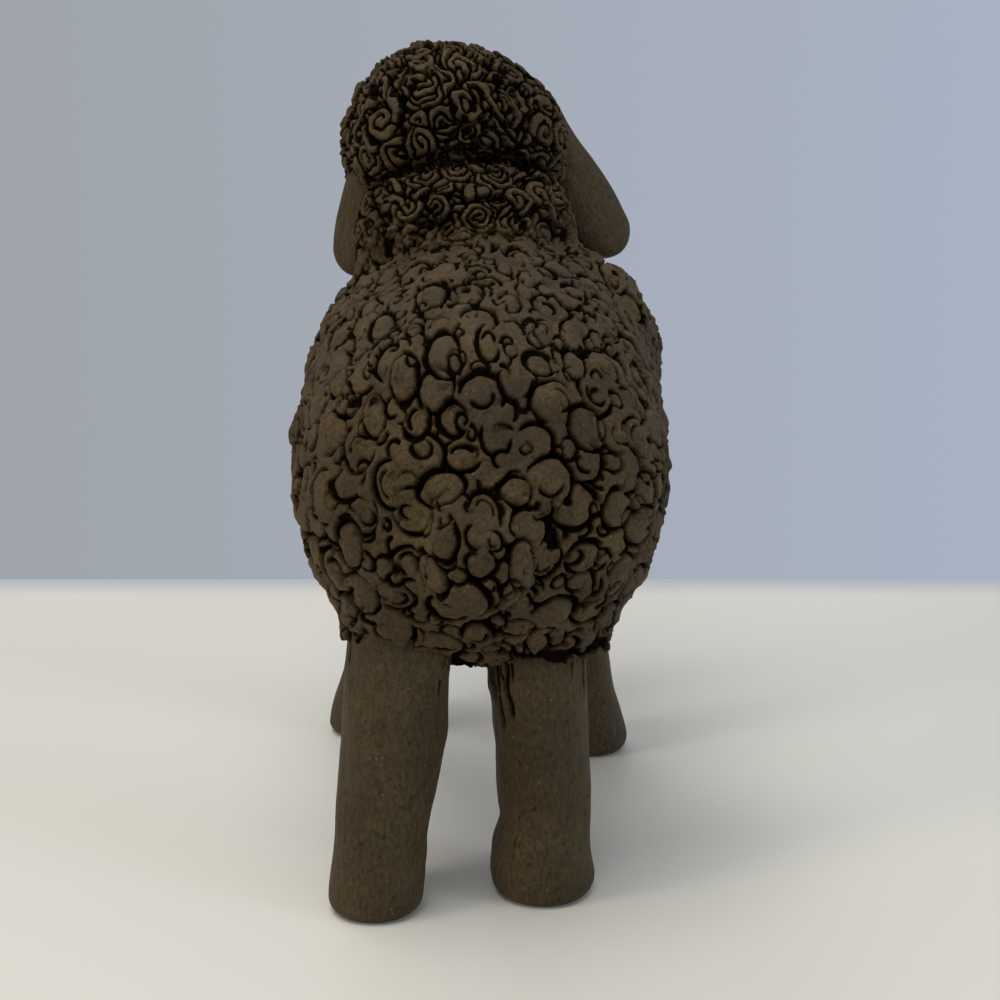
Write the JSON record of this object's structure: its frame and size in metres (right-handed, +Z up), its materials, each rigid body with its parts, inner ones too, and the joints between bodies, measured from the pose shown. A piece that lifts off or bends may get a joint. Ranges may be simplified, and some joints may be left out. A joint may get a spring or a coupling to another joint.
{
  "type": "sheep figurine",
  "caption": "Standing woolly sheep figurine of unglazed dark brown stoneware, with a curled fleece, drooping ears and smooth tubular legs.",
  "frame": {"origin": "middle of the footprint box, on the plane of the soles", "axes": "+Z up, +Y towards the head end, +X to the animal's right"},
  "size_m": [0.0525, 0.105, 0.111],
  "materials": {
    "fleece_clay": "matt unglazed",
    "smooth_clay": "matt unglazed",
    "eye_clay": "matt unglazed"
  },
  "bodies": {
    "root": {"body_front": "smooth_clay", "body_rear": "smooth_clay", "curls_back": "fleece_clay", "curls_belly": "fleece_clay", "curls_chest": "fleece_clay", "curls_crown": "fleece_clay", "curls_left_cheek": "fleece_clay", "curls_left_flank": "fleece_clay", "curls_nape": "fleece_clay", "curls_poll": "fleece_clay", "curls_right_cheek": "fleece_clay", "curls_right_flank": "fleece_clay", "curls_rump": "fleece_clay", "curls_tail": "fleece_clay", "ear_left": "smooth_clay", "ear_right": "smooth_clay", "eye_left": "eye_clay", "eye_right": "eye_clay", "head": "smooth_clay", "leg_front_left": "smooth_clay", "leg_front_right": "smooth_clay", "leg_rear_left": "smooth_clay", "leg_rear_right": "smooth_clay", "neck": "smooth_clay", "tail": "fleece_clay"}
  },
  "joints": []
}
